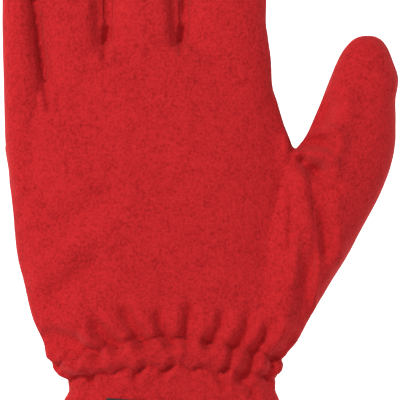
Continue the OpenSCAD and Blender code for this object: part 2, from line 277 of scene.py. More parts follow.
# ---------------------------------------------------------------- the glove's outer surface
# Creases on each side: line in x and z, half width, depth (negative for a ridge). A line of three
# points or more fades in from its start.
PALM_FOLDS = [
    ([(-56, 58), (-49, 56.5)], 4.0, 4.6),
    ([(-54, 59), (-47, 57), (-38, 52.5)], 2.2, 3.2),
    ([(-41.5, 66.5), (-37.5, 62), (-31.5, 56.5)], 2.4, 3.6),
    ([(-30, 71.5), (-26, 65.5), (-20.5, 57)], 2.3, 3.8),
    ([(-15.8, 71.5), (-14.4, 64), (-10.3, 57)], 2.1, 3.0),
    ([(-3.6, 74), (-3.6, 66), (-5.8, 59)], 2.2, 2.8),
    ([(8.8, 70.5), (7.6, 63), (3.5, 57)], 1.9, 2.8),
    ([(18.4, 69.5), (17.2, 61), (13, 55.5)], 2.0, 2.8),
    ([(28.8, 67), (25, 61), (19.6, 53.2), (15.6, 43.5)], 1.8, 2.9),
    ([(34.4, 60.5), (31.5, 55.5), (28, 51.5)], 1.8, 2.5),
    ([(12.7, 55.5), (10.9, 51), (9.2, 46.5)], 1.3, 2.2),
    ([(27.6, 53), (26, 49), (24.5, 44)], 1.3, 2.0),
    ([(-55, 49.3), (-51, 47.2), (-47, 44.5)], 1.7, 2.2),
    ([(-42.4, 49), (-41, 46), (-39.5, 42.5)], 1.1, 1.8),
    ([(-19.8, 51.5), (-21.5, 48.5), (-23.8, 44.5)], 1.3, 1.9),
    ([(-9.4, 52), (-10.6, 49.5), (-13.5, 46)], 1.2, 1.8),
    ([(5.5, 46), (7.5, 43.5), (9, 40.5)], 1.2, 1.6),
    ([(14.8, 46), (17.4, 42), (20, 37)], 1.4, 1.7),
    ([(-59, 66), (-52, 77), (-40, 85.5)], 4.4, 2.2),
    ([(-55, 97), (-47, 103), (-36, 111)], 5.0, 1.5),
    ([(46, 145.5), (44, 139)], 4.0, 7.0),
    ([(39.5, 131.6), (46.5, 131.2)], 2.9, 7.0),
    ([(40.6, 135.2), (50, 136.6)], 1.3, -1.4),
    ([(35.6, 128.4), (47, 127.6)], 1.2, -1.5),
    ([(38.8, 124.8), (43.5, 121.5)], 3.0, 6.2),
    ([(44, 120), (47.5, 115)], 3.0, 3.2),
    ([(40.4, 121), (41.8, 114), (45, 107.5), (46.6, 99), (46.9, 91)], 2.7, 3.6),
    ([(42.2, 96), (40.6, 85), (38.8, 75), (37, 64)], 3.0, 2.6),
    ([(44.4, 97), (43.8, 87), (42.6, 76), (43, 68)], 1.2, -1.2),
    ([(36.4, 106), (35.6, 93), (34.8, 80)], 1.6, -1.0),
    ([(33.6, 116), (33.6, 105), (33.4, 93)], 0.8, 1.0),
    ([(-38.9, 200), (-38.2, 177), (-36.4, 165)], 1.9, 1.3),
    ([(-10.4, 200), (-9.6, 178), (-8.4, 168)], 1.9, 1.3),
    ([(-34.9, 175), (-35.6, 163)], 1.1, 1.8),
    ([(-6.4, 175), (-7.2, 165.5)], 1.0, 1.7),
    ([(-60, 168), (-58.4, 156), (-57.4, 150), (-56.6, 145)], 1.1, 1.7),
    ([(-57.2, 163), (-56.2, 157), (-55.8, 150)], 0.9, 0.7),
]
BACK_FOLDS = [
    ([(-53, 62), (-46, 54)], 2.2, 2.0), ([(-38, 59), (-34, 54)], 1.7, 1.8), ([(-24, 59), (-21, 54)], 1.7, 1.8),
    ([(-9, 60), (-9.5, 55)], 1.7, 1.8), ([(5, 70), (2.5, 56)], 1.9, 2.1), ([(19, 68), (14, 55)], 1.9, 2.1),
    ([(30, 61), (24, 51)], 1.8, 2.0), ([(44, 130), (43.6, 110), (39.5, 78)], 3.2, 1.4),
]
# Where the cloth between two rows of gathering is pinched, along x on each side and along y on the edges.
PALM_PINCHES = ((-60, -53, -45.5, -37.5, -30.5, -20.3, -10.1, -5.4, 2.5, 12.7, 19.5, 27.2, 34, 42),
                (-58, -48.8, -40.9, -33.3, -23.8, -13.7, -2.9, 6, 14.8, 25.5, 33, 42))
BACK_PINCHES = ((-62, -55, -46, -38.5, -28, -20.5, -9.4, -1.5, 6.5, 13.8, 24, 31, 41),
                (-59, -49.5, -42, -31, -23.2, -14.5, -4, 4.7, 12, 21.5, 29, 40))
EDGE_PINCHES = ((-27, -18, -8.5, 0, 7.8, 17, 26), (-26, -16.5, -9, 0, 8.8, 16, 27))
# The seam between the palm and the thumb, from below the crotch down.
THUMB_SEAM = ((THUMB_FOOT, 40.0), (73, 41.4), (87, 42.4), (101, 42.6), (114, 41.8), (121, 40.0),
              (126, 37.6), (129, 36.2), (134, 35.0))
GAPS = {"little_ring": ((-57.2, -66.3), 143.0), "ring_middle": ((-34.8, -34.8), 168.0),
        "middle_index": ((-6.7, -6.2), 168.0)}
GAP_TOP = 220.0
FOURCHETTE_HALF, FOURCHETTE_REACH = 4.2, 5.2     # in y and in x from the gap's middle


def thumb_seam_x(z):
    heights, places = zip(*THUMB_SEAM)
    return np.interp(z, heights, places)


def gap_x(name, z):
    (low, high), web = GAPS[name]
    return low + (z - web) * (high - low) / (GAP_TOP - web)


def gather_rows(x, y):
    """Heights of the two rows of stitching round the wrist: arched over the palm, flatter over the back."""
    off = np.abs(x - WRIST_MIDDLE)
    palm = smoothstep(4, -8, y)
    low = 42.2 + (4.2 + 1.6 * palm) * (1 - np.clip(off / 41, 0, 1) ** 2)
    high = 48.4 + (7.6 + 2.8 * palm) * (1 - np.clip(off / 44, 0, 1) ** 2)
    return low, high


def lobes(at, pinches):
    """0 at each pinch and 1 halfway to the next."""
    p = np.array(pinches, float)
    i = np.clip(np.searchsorted(p, at, side="right") - 1, 0, len(p) - 2)
    t = np.clip((at - p[i]) / (p[i + 1] - p[i]), 0, 1)
    return 4 * t * (1 - t)


def gathers(at, pinches, z, low, high):
    """How far cloth stands off round the wrist, pinched along two scalloped rows and puffed between them."""
    upper, lower = lobes(at, pinches[0]), lobes(at, pinches[1])
    high, low = high + 2.6 * (upper - 0.65), low + 2.4 * (lower - 0.65)
    t = np.clip((z - low) / (high - low), 0, 1)
    lobe = np.sqrt(upper * t + lower * (1 - t))
    above, below = z - high, low - z
    out = 1.7 * np.sin(math.pi * t) ** 0.8 * (0.35 + 0.65 * lobe)
    for beyond, height, row, flat in ((above, 1.9, upper, 0.35), (below, 1.3, lower, 0.45)):
        roll = height * (np.sqrt(row) - flat) * (1 - np.exp(-beyond / 1.5)) * np.exp(-beyond / 6)
        out += np.where(beyond > 0, roll, 0)
    return out - 1.5 * np.exp(-(above / 1.2) ** 2) - 1.3 * np.exp(-(below / 1.1) ** 2)


def folded(co, quads):
    """Pushes in creases, gathers and seams, and lets the cloth wander a little."""
    n = normals_of(co, quads)
    x, y, z = co.T
    front, back = smoothstep(0.1, 0.7, -n[:, 1]), smoothstep(0.1, 0.7, n[:, 1])
    out = 0.5 * cloud(co, 26, 1) + 0.22 * cloud(co, 9, 2)
    under_hood = smoothstep(150, 160, z)
    out -= under_hood * (0.5 * out + 0.4 * np.maximum(front, back))

    left, right, depth = section_at(PALM, np.clip(z, -6, 170)).T
    low, high = gather_rows(x, y)
    wander = 0.9 * cloud(co, 8, 5)
    near_wrist = smoothstep(14, 30, z) * smoothstep(92, 74, z)
    for at, pinches, share in ((x, PALM_PINCHES, front), (x, BACK_PINCHES, back),
                               (y, EDGE_PINCHES, 0.4 * (1 - np.maximum(front, back)))):
        out += near_wrist * share * gathers(at + wander, pinches, z + 0.4 * wander, low, high)

    pressed = np.zeros(len(co))
    for folds, share in ((PALM_FOLDS, smoothstep(-0.5, -5, y)), (BACK_FOLDS, -smoothstep(0.5, 5, y))):
        for line, width, fold_depth in folds:
            gap, where = near_line(line, x, z)
            ends = smoothstep(-0.1, 0.4, where) if len(line) > 2 else 1
            profile = np.exp(-(gap / width) ** 2) - 0.25 * np.exp(-((gap - 2.1 * width) / width) ** 2)
            pressed += fold_depth * share * ends * profile

    # Seams are pulled in, unevenly.
    pull = 1 + 0.35 * cloud(co, 4.5, 3)
    outside = (z > 44) & ((x < left + 9) | (x > right - 9) | (z > 120))
    out -= 0.55 * pull * np.exp(-(y / 1.2) ** 2) * np.where(outside, 1, 0.4)
    thumb_gap = x - thumb_seam_x(z)
    on_thumb_seam = smoothstep(56, 62, z) * smoothstep(131, 127, z) * np.maximum(front, back)
    out -= 0.55 * pull * np.exp(-(thumb_gap / 1.1) ** 2) * on_thumb_seam
    pressed = np.clip(pressed, -0.55 * np.abs(y), 0.55 * np.abs(y))
    # Round the wrist the elastic holds the cloth, so it can't sink far.
    held = smoothstep(32, 40, z) * smoothstep(69, 61, z)
    out += 0.8 * held * np.maximum(front, back)
    sunk = np.abs(pressed) - out
    limit = 2.3 * np.tanh(np.maximum(sunk, 0) / 2.3)
    pressed -= np.sign(pressed) * held * np.where(sunk > 0, sunk - limit, 0)
    return co + n * out[:, None] + pressed[:, None] * [0, 1, 0]


def glove_surface():
    co, quads = remeshed([tube(s) for s in (PALM, LITTLE, RING, MIDDLE, INDEX, THUMB)], GLOVE_VOXEL)
    co = relaxed(co, quads, 4)
    co = folded(co, quads)
    return relaxed(co, quads, 1, 0.35), quads


# ---------------------------------------------------------------- cutting the surface into sewn pieces
class Cutter:
    """A bmesh of a whole surface that is cut along planes and handed out face by face."""

    def __init__(self, co, quads):
        self.bm = bmesh.new()
        verts = [self.bm.verts.new(p) for p in co]
        for q in quads:
            self.bm.faces.new([verts[i] for i in q])
        self.bm.normal_update()

    def cut(self, point, normal, where):
        faces = [f for f in self.bm.faces if where(f.calc_center_median())]
        geom = set(faces) | {e for f in faces for e in f.edges} | {v for f in faces for v in f.verts}
        cut = bmesh.ops.bisect_plane(self.bm, geom=list(geom), dist=1e-4,
                                     plane_co=Vector(point), plane_no=Vector(normal))
        return [g for g in cut["geom_cut"] if isinstance(g, bmesh.types.BMVert)]

    def arrays(self):
        """Points, smooth normals, and faces as (centre, corner numbers)."""
        self.bm.normal_update()
        self.bm.verts.index_update()
        co = np.array([v.co for v in self.bm.verts])
        n = np.array([v.normal for v in self.bm.verts])
        return co, n, [(f.calc_center_median(), tuple(v.index for v in f.verts)) for f in self.bm.faces]


def shell(co, normals, faces, thickness):
    """The cloth of some of a surface's faces: outside, inside, and the cut edge between."""
    used = sorted({i for f in faces for i in f})
    new = {old: k for k, old in enumerate(used)}
    outer = [tuple(new[i] for i in f) for f in faces]
    count = len(used)
    verts = np.vstack([co[used], co[used] - normals[used] * thickness])
    inner = [tuple(i + count for i in reversed(f)) for f in outer]
    return verts, outer + inner + sorted((b, a, a + count, b + count) for a, b in open_edges(outer))


def piece(name, verts, faces, uv=None):
    """A mesh object from design-frame points."""
    mesh = bpy.data.meshes.new(name)
    mesh.from_pydata(to_row(verts).tolist(), [], [tuple(int(i) for i in f) for f in faces])
    mesh.validate()
    mesh.shade_smooth()
    if uv is not None:
        layer = mesh.uv_layers.new(name="run")
        corners = np.zeros(len(mesh.loops), np.int32)
        mesh.loops.foreach_get("vertex_index", corners)
        layer.data.foreach_set("uv", np.asarray(uv, np.float32)[corners].ravel())
    obj = bpy.data.objects.new(name, mesh)
    bpy.context.scene.collection.objects.link(obj)
    return obj


def bvh(co, faces):
    return BVHTree.FromPolygons([Vector(p) for p in co], [tuple(int(i) for i in f) for f in faces])


# ---------------------------------------------------------------- materials
def linear(r, g, b):
    """A colour as it looks on a screen, 0 to 255, to the linear value that shaders take."""
    return tuple(c / 255 / 12.92 if c / 255 <= 0.04045 else ((c / 255 + 0.055) / 1.055) ** 2.4
                 for c in (r, g, b)) + (1,)


class Finish:
    """A procedural material: a Principled shader with colour and bump built from patterns."""

    def __init__(self, name, roughness, sheen=0.0, sheen_tint=(1, 1, 1, 1), specular=0.3):
        self.material = bpy.data.materials.new(name)
        self.material.use_nodes = True
        self.tree = self.material.node_tree
        self.shader = self.tree.nodes["Principled BSDF"]
        self.shader.inputs["Roughness"].default_value = roughness
        self.shader.inputs["Specular IOR Level"].default_value = specular
        self.shader.inputs["Sheen Weight"].default_value = sheen
        self.shader.inputs["Sheen Roughness"].default_value = 0.45
        self.shader.inputs["Sheen Tint"].default_value = sheen_tint
        self.coordinates = self.add("ShaderNodeTexCoord")
        self.height = None

    def add(self, kind, **settings):
        node = self.tree.nodes.new(kind)
        for key, value in settings.items():
            if key in node.inputs:
                node.inputs[key].default_value = value
            else:
                setattr(node, key, value)
        return node

    def link(self, out, into):
        self.tree.links.new(out, into)

    def place(self, stretch=(1, 1, 1), source="Object"):
        mapping = self.add("ShaderNodeMapping")
        mapping.inputs["Scale"].default_value = stretch
        self.link(self.coordinates.outputs[source], mapping.inputs["Vector"])
        return mapping.outputs["Vector"]

    def noise(self, size, detail=3, rough=0.55, stretch=(1, 1, 1), source="Object"):
        """Noise whose features are about size metres wide."""
        node = self.add("ShaderNodeTexNoise", Scale=1 / size, Detail=detail, Roughness=rough)
        self.link(self.place(stretch, source), node.inputs["Vector"])
        return node.outputs["Fac"]

    def bands(self, pitch, direction, source="UV", distortion=0.0):
        node = self.add("ShaderNodeTexWave", Scale=1 / pitch / 20 * math.pi * 2, Distortion=distortion)
        node.bands_direction = direction
        self.link(self.place(source=source), node.inputs["Vector"])
        return node.outputs["Fac"]

    def maths(self, operation, a, b):
        node = self.add("ShaderNodeMath", operation=operation)
        for socket, value in zip(node.inputs, (a, b)):
            if isinstance(value, (int, float)):
                socket.default_value = value
            else:
                self.link(value, socket)
        return node.outputs[0]

    def mixed(self, *parts):
        """Patterns added up, each by its share."""
        scaled = [self.maths("MULTIPLY", pattern, share) for pattern, share in parts]
        total = scaled.pop()
        while scaled:
            total = self.maths("ADD", scaled.pop(), total)
        return total

    def colour(self, pattern, stops):
        """Base colour from a pattern, through colours at given places."""
        ramp = self.add("ShaderNodeValToRGB")
        elements = ramp.color_ramp.elements
        elements[0].position, elements[0].color = stops[0]
        elements[1].position, elements[1].color = stops[-1]
        for position, colour in stops[1:-1]:
            elements.new(position).color = colour
        self.link(pattern, ramp.inputs["Fac"])
        self.link(ramp.outputs["Color"], self.shader.inputs["Base Color"])

    def bump(self, pattern, depth, strength=1.0):
        node = self.add("ShaderNodeBump", Distance=depth, Strength=strength)
        self.link(pattern, node.inputs["Height"])
        if self.height is not None:
            self.link(self.height, node.inputs["Normal"])
        self.height = node.outputs["Normal"]
        self.link(self.height, self.shader.inputs["Normal"])


def fleece_finish():
    f = Finish("red_fleece", 1.0, sheen=0.35, sheen_tint=linear(255, 120, 120), specular=0.12)
    nap = f.noise(0.00098, 3, 0.6)
    tufts = f.noise(0.0034, 2, 0.5)
    patches = f.noise(0.019, 2, 0.5)
    f.colour(f.mixed((nap, 0.68), (tufts, 0.2), (patches, 0.12)), [
        (0.3, linear(148, 21, 25)), (0.5, linear(191, 35, 39)), (0.7, linear(207, 43, 47))])
    f.bump(tufts, 0.0005, 0.6)
    f.bump(nap, 0.0004, 0.8)
    f.bump(f.noise(0.0005, 2, 0.6), 0.0002, 0.6)
    return f.material


def tape_finish():
    f = Finish("red_stretch_binding", 0.85, sheen=0.25, sheen_tint=linear(255, 150, 150), specular=0.2)
    wales = f.bands(0.0009, "X")
    courses = f.bands(0.0011, "Y")
    knit = f.maths("MULTIPLY", wales, f.maths("ADD", f.maths("MULTIPLY", courses, 0.4), 0.6))
    worn = f.mixed((knit, 0.6), (f.noise(0.004, 3), 0.4))
    f.colour(worn, [(0.1, linear(122, 14, 20)), (0.5, linear(163, 24, 31)), (0.9, linear(190, 38, 44))])
    f.bump(knit, 0.00025, 0.9)
    f.bump(f.noise(0.0007), 0.0001, 0.6)
    return f.material


def elastic_finish():
    f = Finish("white_elastic", 0.75, sheen=0.15, specular=0.3)
    ribs = f.bands(0.0013, "Y")
    threads = f.bands(0.0006, "X")
    weave = f.mixed((ribs, 0.6), (threads, 0.4))
    f.colour(weave, [(0.1, linear(176, 172, 164)), (0.5, linear(222, 219, 212)), (0.9, linear(240, 238, 233))])
    f.bump(ribs, 0.0003)
    f.bump(threads, 0.00015, 0.7)
    return f.material


def thread_finish(name, dark, light):
    f = Finish(name, 0.7, sheen=0.1, specular=0.2)
    twist = f.noise(0.0004, 2, 0.5)
    f.colour(twist, [(0.35, dark), (0.65, light)])
    f.bump(twist, 0.00008, 0.8)
    return f.material


def label_finish():
    f = Finish("black_woven_label", 0.5, sheen=0.2, specular=0.45)
    warp = f.bands(0.00042, "X")
    weft = f.bands(0.00055, "Y")
    weave = f.mixed((warp, 0.5), (weft, 0.5))
    f.colour(weave, [(0.2, linear(14, 13, 15)), (0.8, linear(38, 36, 40))])
    f.bump(weave, 0.00006, 0.8)
    f.bump(f.noise(0.003), 0.00015, 0.5)
    return f.material


def pile_finish(name, dark, light, roughness, size):
    f = Finish(name, roughness, sheen=0.15, specular=0.35)
    grain = f.noise(size, 3, 0.6)
    f.colour(grain, [(0.35, dark), (0.65, light)])
    f.bump(grain, size * 0.3, 0.8)
    return f.material


FLEECE_RED = fleece_finish()
TAPE_RED = tape_finish()
ELASTIC_WHITE = elastic_finish()
THREAD_RED = thread_finish("red_thread", linear(110, 10, 15), linear(162, 26, 31))
THREAD_BLACK = thread_finish("black_thread", linear(18, 18, 20), linear(52, 50, 54))
LABEL_BLACK = label_finish()
LOOP_RED = pile_finish("red_loop_pile", linear(92, 10, 15), linear(150, 26, 32), 0.9, 0.0012)
HOOK_BLACK = pile_finish("black_hooks", linear(16, 16, 18), linear(46, 45, 48), 0.4, 0.0009)


def dressed(obj, material, nodes, body=None):
    obj.data.materials.append(material)
    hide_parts(*nodes)
    if body:
        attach(obj, body)
    return obj


# ---------------------------------------------------------------- the glove's fleece pieces
surface, surface_quads = glove_surface()
cutter = Cutter(surface, surface_quads)
seam_points = []
cutter.cut((0, 0, HEM_Z), (0, 0, 1), lambda c: c.z < 6)
for sections, end in STALL_ENDS.values():
    low, high = sections[-1][1] - STALL_MARGIN, sections[-1][2] + STALL_MARGIN
    cutter.cut((0, 0, end), (0, 0, 1), lambda c: low < c.x < high and abs(c.z - end) < 5)
seam_points += cutter.cut((0, 0, 0), (0, 1, 0), lambda c: abs(c.y) < 4)
for (z0, x0), (z1, x1) in zip(THUMB_SEAM, THUMB_SEAM[1:]):
    cutter.cut((0, 0, z1), (0, 0, 1), lambda c: abs(c.z - z1) < 3 and abs(c.x - x1) < 5)
for (z0, x0), (z1, x1) in zip(THUMB_SEAM, THUMB_SEAM[1:]):
    cutter.cut((x0, 0, z0), (z1 - z0, 0, x0 - x1),
               lambda c: z0 < c.z < z1 and abs(c.x - thumb_seam_x(c.z)) < 4)
seam_points += cutter.cut((0, 0, THUMB_FOOT), (0, 0, 1), lambda c: c.x > 36 and abs(c.z - THUMB_FOOT) < 4)
for gap_name, (_, web) in GAPS.items():
    def beside(c, reach=9):
        return c.z > web - 3 and abs(c.x - gap_x(gap_name, c.z)) < reach
    for side in (-1, 1):
        seam_points += cutter.cut((0, side * FOURCHETTE_HALF, 0), (0, 1, 0), beside)
        (low, high), _ = GAPS[gap_name]
        cutter.cut((low + side * FOURCHETTE_REACH, 0, web), (GAP_TOP - web, 0, low - high), beside)
    cutter.cut((0, 0, web), (0, 0, 1), lambda c: beside(c, 6) and abs(c.z - web) < 4 and abs(c.y) < 6)
for v in {v for v in seam_points if v.is_valid}:
    v.co -= v.normal * SEAM_SINK
skin, skin_normals, skin_faces = cutter.arrays()


def panel_of(c):
    """The sewn piece that a bit of the glove's surface belongs to, or None where it is open."""
    if c.z < HEM_Z:
        return None
    for sections, end in STALL_ENDS.values():
        if c.z > end and sections[-1][1] - STALL_MARGIN < c.x < sections[-1][2] + STALL_MARGIN:
            return None
    for name, (_, web) in GAPS.items():
        if c.z > web and abs(c.y) < FOURCHETTE_HALF and abs(c.x - gap_x(name, c.z)) < FOURCHETTE_REACH:
            return "fourchette_" + name
    if c.z > THUMB_FOOT and c.x > thumb_seam_x(c.z):
        return "thumb_front_panel" if c.y < 0 else "thumb_back_panel"
    return "palm_panel" if c.y < 0 else "back_panel"


panels = {}
for centre, corners in skin_faces:
    panels.setdefault(panel_of(centre), []).append(corners)
panels.pop(None, None)
for name, faces in panels.items():
    panel = piece(name + "_fleece", *shell(skin, skin_normals, faces, FLEECE))
    dressed(panel, FLEECE_RED, [name], "glove")
skin_tree = bvh(skin, [f for _, f in skin_faces])


# ---------------------------------------------------------------- loops, bindings, stitches
def struck(tree, origin, direction):
    """Where a ray from inside meets a surface, and the surface's outward normal there."""
    hit, normal, _, _ = tree.ray_cast(Vector(origin), direction)
    return hit, normal if normal.dot(direction) > 0 else -normal


def ring_on(tree, centre, z, count, squash=1.0, half_width=1e9):
    """Points and outward normals round a tube, at one height, evenly spaced.

    half_width keeps the ring off the next tube.
    """
    found = []
    for a in turns(240) + math.pi / 240:    # so that no ray lies along the side seams
        direction = Vector((math.cos(a), math.sin(a) * squash, 0)).normalized()
        hit, normal = struck(tree, (centre[0], centre[1], z), direction)
        if abs(hit.x - centre[0]) < half_width:
            found.append((hit, normal))
    points, normals = (np.array(column) for column in zip(*found, found[0]))
    run = run_of(points)
    at = np.linspace(0, run[-1], count, endpoint=False)
    p, n = at_run(at, run, points), at_run(at, run, normals)
    n[:, 2] = 0
    n = (np.roll(n, 1, 0) + n * 2 + np.roll(n, -1, 0))
    return p, n / np.linalg.norm(n, axis=1)[:, None], run[-1]


def swept(profiles, closed, run):
    """A skin over closed cross-sections (count x corners x 3), with a uv of real lengths in metres."""
    count, corners = profiles.shape[:2]
    faces = []
    for i in range(count if closed else count - 1):
        for k in range(corners):
            j, m = (i + 1) % count, (k + 1) % corners
            faces.append((i * corners + k, j * corners + k, j * corners + m, i * corners + m))
    if not closed:
        faces += [tuple(range(corners)), tuple((count - 1) * corners + k for k in reversed(range(corners)))]
    around = run_of(profiles[0])
    both = np.broadcast_arrays((run * 0.001)[:, None], (around * 0.001)[None, :])
    uv = np.stack(both, axis=-1).reshape(-1, 2)
    return profiles.reshape(-1, 3), faces, uv


def tape_profile(h, t):
    """Corners of tape h high over cloth t thick: (offset from the outer face, height from the edge)."""
    o, up = TAPE, TAPE_FOLD
    outside = [(0.12, -h), (o * 0.75, -h + 0.15), (o, -h + 0.8), (o * 1.05, -h * 0.6), (o, -h * 0.3),
               (o * 1.05, -0.4)]
    over = [(o * 0.7, up * 0.7), (0.1, up), (-t / 2, up * 1.05), (-t - 0.1, up), (-t - o * 0.7, up * 0.7)]
    inside = [(-t - o, -0.4), (-t - o, -h * 0.5), (-t - o * 0.8, -h + 0.2), (-t - 0.1, -h)]
    back = [(-t + 0.25, -h + 0.3), (-t + 0.3, -0.5), (-0.3, -0.5), (-0.25, -h + 0.3)]
    return outside + over + inside + back


def dashes(points, normals, length, gap, radius, lift=0.15, closed=True, sides=6):
    """Short raised stitches along a line on a surface."""
    points, normals = np.asarray(points), np.asarray(normals)
    if closed:
        points, normals = np.vstack([points, points[:1]]), np.vstack([normals, normals[:1]])
    run = run_of(points)
    count = max(1, int(run[-1] / (length + gap)))
    pitch = run[-1] / count
    verts, faces = [], []
    steps = np.linspace(0, 1, 7)
    for i in range(count):
        at = (i + 0.1) * pitch + steps * length
        p, n = at_run(at, run, points), at_run(at, run, normals)
        n /= np.linalg.norm(n, axis=1)[:, None]
        along = np.gradient(p, axis=0)
        along /= np.linalg.norm(along, axis=1)[:, None]
        side = np.cross(along, n)
        arch = np.sin(math.pi * steps)
        size = radius * (0.35 + 0.65 * np.sqrt(arch))
        base = len(verts)
        for k in range(len(steps)):
            middle = p[k] + n[k] * (lift * arch[k] - radius * 0.4 * (1 - arch[k]))
            for a in turns(sides):
                verts.append(middle + size[k] * (math.cos(a) * side[k] + math.sin(a) * n[k]))
        for k in range(len(steps) - 1):
            for a in range(sides):
                b = (a + 1) % sides
                low, high = base + k * sides, base + (k + 1) * sides
                faces.append((low + a, low + b, high + b, high + a))
        faces.append(tuple(base + a for a in reversed(range(sides))))
        faces.append(tuple(base + (len(steps) - 1) * sides + a for a in range(sides)))
    return np.array(verts), faces


def ring_binding(name, node, centre, half_width, squash, edge_z, height, upward, count):
    """Stretch tape round an open end, with its own row of stitches; upward is +1 where the edge faces up."""
    profile = tape_profile(height, FLEECE)
    levels = sorted({round(h, 3) for _, h in profile})
    rings = {}
    for h in levels:
        z = edge_z + upward * min(h, -0.6)
        rings[h] = ring_on(skin_tree, centre, z, count, squash, half_width)
    length = rings[levels[0]][2]
    run = np.linspace(0, length, count, endpoint=False)
    wave = 0.12 * np.sin(run / length * 2 * math.pi * 9) + 0.08 * np.sin(run / length * 2 * math.pi * 23 + 1)
    corners = []
    for offset, h in profile:
        p, n, _ = rings[round(h, 3)]
        place = p + n * (offset + np.where(offset > 0.2, wave, 0))[:, None]
        place[:, 2] = edge_z + upward * h
        corners.append(place)
    profiles = np.stack(corners, axis=1)
    if upward < 0:
        profiles = profiles[:, ::-1]
    verts, faces, uv = swept(profiles, True, run)
    p, n, _ = rings[round(profile[2][1], 3)]
    stitch_p = p + n * (TAPE * 1.02 + wave)[:, None]
    stitch_p[:, 2] = edge_z - upward * (height - 1.5)
    sv, sf = dashes(stitch_p, n, 1.9, 0.9, 0.24, 0.12)
    obj = piece(name, *merged((verts, faces), (sv, sf)), uv=np.vstack([uv, np.zeros((len(sv), 2))]))
    return dressed(obj, TAPE_RED, [node], "glove")


for finger, (sections, end) in STALL_ENDS.items():
    left, right, depth = section_at(sections, end)[0]
    ring_binding(f"{finger}_stall_tape", f"{finger}_stall_binding", ((left + right) / 2, 0),
                 (right - left) / 2 + 1.6, 2 * depth / (right - left), end, TAPE_HEIGHT, 1, 96)
ring_binding("cuff_hem_tape", "cuff_hem_binding", (-11, 0), 60, 18 / 46, HEM_Z, TAPE_HEIGHT + 1, -1, 220)

# The wrist elastic lies inside, under the gathers.
def wrist_ring(level, count):
    """A ring on the surface that follows the rows of gathering: level 0 is the lower row and 1 the upper."""
    points, normals, length = ring_on(skin_tree, WRIST_CENTRE, 50, count, 0.4)
    low, high = gather_rows(points[:, 0], points[:, 1])
    found = []
    for p, z in zip(points, low + (high - low) * level):
        direction = Vector((p[0] - WRIST_CENTRE[0], p[1], 0)).normalized()
        found.append(struck(skin_tree, (*WRIST_CENTRE, z), direction))
    points, normals = (np.array(column) for column in zip(*found))
    return points, normals, length


def evened(values, rounds):
    """Smooths values round a closed ring."""
    for _ in range(rounds):
        values = (np.roll(values, 1, 0) + 2 * values + np.roll(values, -1, 0)) / 4
    return values


# Depth below the fleece and level between the rows, round the elastic's cross-section.
elastic_corners = []
for depth, level in ((2.7, 0), (2.7, 0.5), (2.7, 1), (3.5, 1), (3.6, 0.7), (3.6, 0.3), (3.5, 0)):
    p, n, elastic_length = wrist_ring(level - 0.05, 220)
    elastic_corners.append(evened(p + n * (-FLEECE - depth), 30))
elastic_run = np.linspace(0, elastic_length, 220, endpoint=False)
dressed(piece("wrist_elastic_band", *swept(np.stack(elastic_corners, axis=1), True, elastic_run)),
        ELASTIC_WHITE, ["wrist_elastic"], "glove")
rows = []
for level in (0, 1):
    p, n, _ = wrist_ring(level, 420)
    rows.append(dashes(evened(p, 1), evened(n, 4), 2.2, 0.9, 0.22, -0.12))
dressed(piece("elastic_stitches", *merged(*rows)), THREAD_RED, ["elastic_stitching"], "glove")


# ---------------------------------------------------------------- patches laid on a surface
def dropped(tree, x, z, side, smooth=1):
    """Points of a grid dropped onto a surface from the front (side -1) or the back (side +1)."""
    y = np.zeros(x.shape)
    for index in np.ndindex(x.shape):
        hit = tree.ray_cast(Vector((x[index], side * 60, z[index])), Vector((0, -side, 0)))[0]
        y[index] = hit.y
    if y.ndim == 2:
        for _ in range(smooth):
            wide = np.pad(y, 1, mode="edge")
            y = (wide[1:-1, 1:-1] * 2 + wide[:-2, 1:-1] + wide[2:, 1:-1] + wide[1:-1, :-2] + wide[1:-1, 2:]) / 6
    return y


def turned(middle, tilt, u, v):
    """The x and z of places on a patch, given from its middle along its tilted sides."""
    c, s = math.cos(tilt), math.sin(tilt)
    return middle[0] + u * c - v * s, middle[1] + u * s + v * c


def laid_sheet(tree, middle, size, thickness, side, tilt=0.0, step=1.0, sink=0.25, smooth=6):
    """A thin rectangle of cloth that follows a surface. Returns verts, faces, uv."""
    nx, nz = int(size[0] / step) + 1, int(size[1] / step) + 1
    u, v = np.meshgrid(np.linspace(-0.5, 0.5, nx) * size[0], np.linspace(-0.5, 0.5, nz) * size[1],
                       indexing="ij")
    x, z = turned(middle, tilt, u, v)
    y = dropped(tree, x, z, side, smooth)
    edge = np.minimum(0.5 * size[0] - abs(u), 0.5 * size[1] - abs(v))
    crown = thickness * (0.55 + 0.45 * smoothstep(0, 0.9, edge))
    top = np.stack([x, y + side * crown, z], axis=-1).reshape(-1, 3)
    bottom = np.stack([x, y - side * sink, z], axis=-1).reshape(-1, 3)
    count = nx * nz
    faces = []
    for i in range(nx - 1):
        for k in range(nz - 1):
            a = i * nz + k
            quad = (a, a + nz, a + nz + 1, a + 1)[::-side]
            faces += [quad, tuple(q + count for q in quad[::-1])]
    faces += sorted((b, a, a + count, b + count) for a, b in open_edges(faces[::2]))
    uv = np.stack([u, v], axis=-1).reshape(-1, 2) * 0.001
    return np.vstack([top, bottom]), faces, np.vstack([uv, uv])


def frame_line(middle, size, inset, tilt=0.0, step=0.5):
    """Points along a rectangle, a margin inside its edge."""
    w, h = size[0] / 2 - inset, size[1] / 2 - inset
    corners = [(-w, -h), (w, -h), (w, h), (-w, h), (-w, -h)]
    line = []
    for (u0, v0), (u1, v1) in zip(corners, corners[1:]):
        count = int(math.hypot(u1 - u0, v1 - v0) / step)
        line += [(u0 + (u1 - u0) * k / count, v0 + (v1 - v0) * k / count) for k in range(count)]
    return np.column_stack(turned(middle, tilt, *np.array(line).T))


